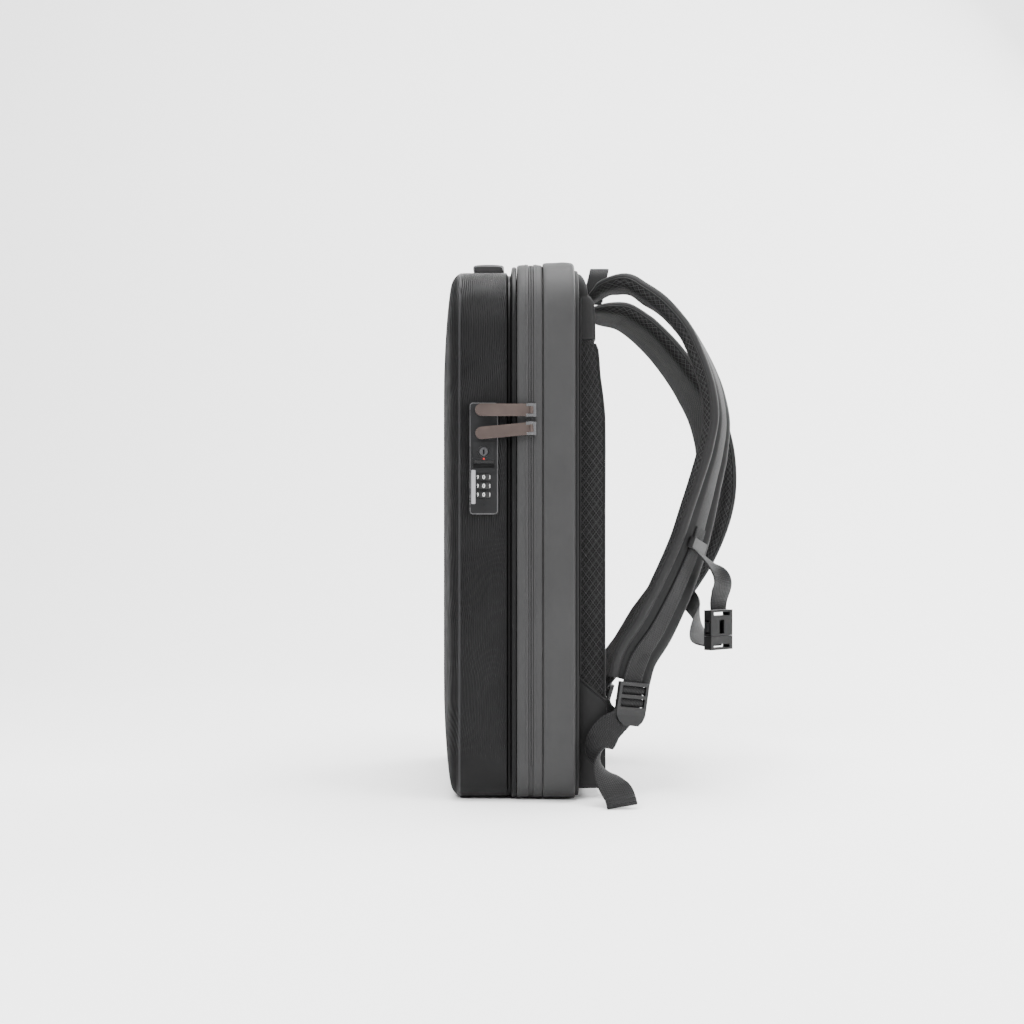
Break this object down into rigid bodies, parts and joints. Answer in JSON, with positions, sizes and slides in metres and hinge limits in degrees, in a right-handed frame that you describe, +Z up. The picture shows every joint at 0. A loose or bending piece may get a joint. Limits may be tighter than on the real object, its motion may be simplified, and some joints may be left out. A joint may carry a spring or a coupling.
{
  "type": "hard shell backpack",
  "caption": "Hard shell backpack with a domed front shell, zipped fabric gusset, side combination lock, padded back and curved shoulder straps with a fastened chest strap.",
  "frame": {"origin": "on the flat base, under the front fabric band, midway between the two sides", "axes": "+Z up; +X toward the wearer's back, from the hard front to the straps; -Y is the side with the lock"},
  "size_m": [0.2711, 0.3431, 0.4597],
  "materials": {
    "shell": "satin",
    "black_plastic": "satin",
    "lock": "satin",
    "coated_cloth": "matt",
    "smooth_cloth": "matt",
    "pad_mesh": "matt",
    "webbing": "matt",
    "pull_metal": "brushed",
    "chrome": "polished"
  },
  "bodies": {
    "bag": {"hard_shell": "shell", "lock_body": "lock", "dial_axle": "chrome", "front_band": "coated_cloth", "zipper": "black_plastic", "rear_band": "coated_cloth", "zip_slider_upper": "chrome", "zip_slider_lower": "chrome", "carry_handle": "black_plastic", "handle_mount_near": "black_plastic", "handle_mount_far": "black_plastic", "back_panel": "smooth_cloth", "back_yoke": "smooth_cloth", "back_pad_top": "smooth_cloth", "back_pad": "pad_mesh", "wing_near": "smooth_cloth", "wing_far": "smooth_cloth", "hang_loop": "webbing", "shoulder_strap_near": "pad_mesh", "shoulder_strap_far": "pad_mesh", "strap_rail_near": "webbing", "strap_rail_far": "webbing", "ladder_lock_near": "black_plastic", "ladder_lock_far": "black_plastic", "anchor_web_near": "webbing", "anchor_web_far": "webbing", "tail_web_near": "webbing", "tail_web_far": "webbing", "sternum_slider_near": "black_plastic", "sternum_slider_far": "black_plastic", "sternum_web_near": "webbing", "sternum_web_far": "webbing", "buckle_female": "black_plastic", "buckle_male": "black_plastic"},
    "key": {"key_plug": "chrome"},
    "release": {"release_slider": "black_plastic"},
    "first_dial": {"dial_1": "black_plastic"},
    "second_dial": {"dial_2": "black_plastic"},
    "third_dial": {"dial_3": "black_plastic"},
    "upper_pull": {"zip_pull_upper": "pull_metal"},
    "lower_pull": {"zip_pull_lower": "pull_metal"}
  },
  "joints": [
    {"name": "key_turn", "type": "hinge", "parent": "bag", "child": "key", "pos_m": [-0.0334, -0.143, 0.289], "axis": [0, 1, 0], "range_deg": [0, 90]},
    {"name": "release_slide", "type": "slide", "parent": "bag", "child": "release", "axis": [0, 0, -1], "range_m": [0, 0.0035], "stiffness_N_per_m": 100},
    {"name": "dial_1_turn", "type": "hinge", "parent": "bag", "child": "first_dial", "pos_m": [-0.0334, -0.1414, 0.2679], "axis": [0, 0, 1], "continuous": true},
    {"name": "dial_2_turn", "type": "hinge", "parent": "bag", "child": "second_dial", "pos_m": [-0.0334, -0.1414, 0.2607], "axis": [0, 0, 1], "continuous": true},
    {"name": "dial_3_turn", "type": "hinge", "parent": "bag", "child": "third_dial", "pos_m": [-0.0334, -0.1414, 0.2535], "axis": [0, 0, 1], "continuous": true},
    {"name": "upper_pull_swing", "type": "hinge", "parent": "bag", "child": "upper_pull", "pos_m": [0.0055, -0.1533, 0.323], "axis": [0, 0, 1], "range_deg": [0, 150]},
    {"name": "lower_pull_swing", "type": "hinge", "parent": "bag", "child": "lower_pull", "pos_m": [0.0055, -0.1533, 0.308], "axis": [0, 0, 1], "range_deg": [0, 150]}
  ]
}
